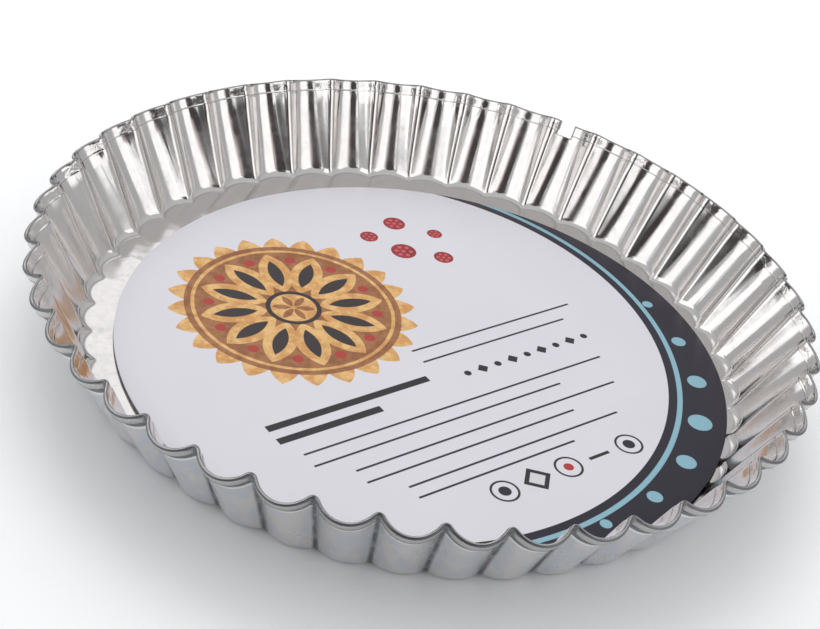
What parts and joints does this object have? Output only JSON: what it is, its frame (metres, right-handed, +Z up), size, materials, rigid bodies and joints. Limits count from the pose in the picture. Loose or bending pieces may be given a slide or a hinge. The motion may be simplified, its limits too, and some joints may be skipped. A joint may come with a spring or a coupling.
{
  "type": "fluted tinplate tart mould",
  "caption": "Shallow round tart and pie mould of tinned steel with a fluted, flared wall, a folded scalloped rim and a flat floor, with a round printed card lying in it.",
  "frame": {"origin": "middle of the underside", "axes": "+Z up out of the mould, +X through the crest of a flute; the picture was taken from about -Y"},
  "size_m": [0.2, 0.2, 0.026],
  "materials": {
    "tinplate": "bright tinned steel sheet, faintly rolled",
    "printed_card": "smooth coated card, printed with colour fields"
  },
  "bodies": {
    "root": {"mould": "tinplate", "card": "printed_card"}
  },
  "joints": []
}
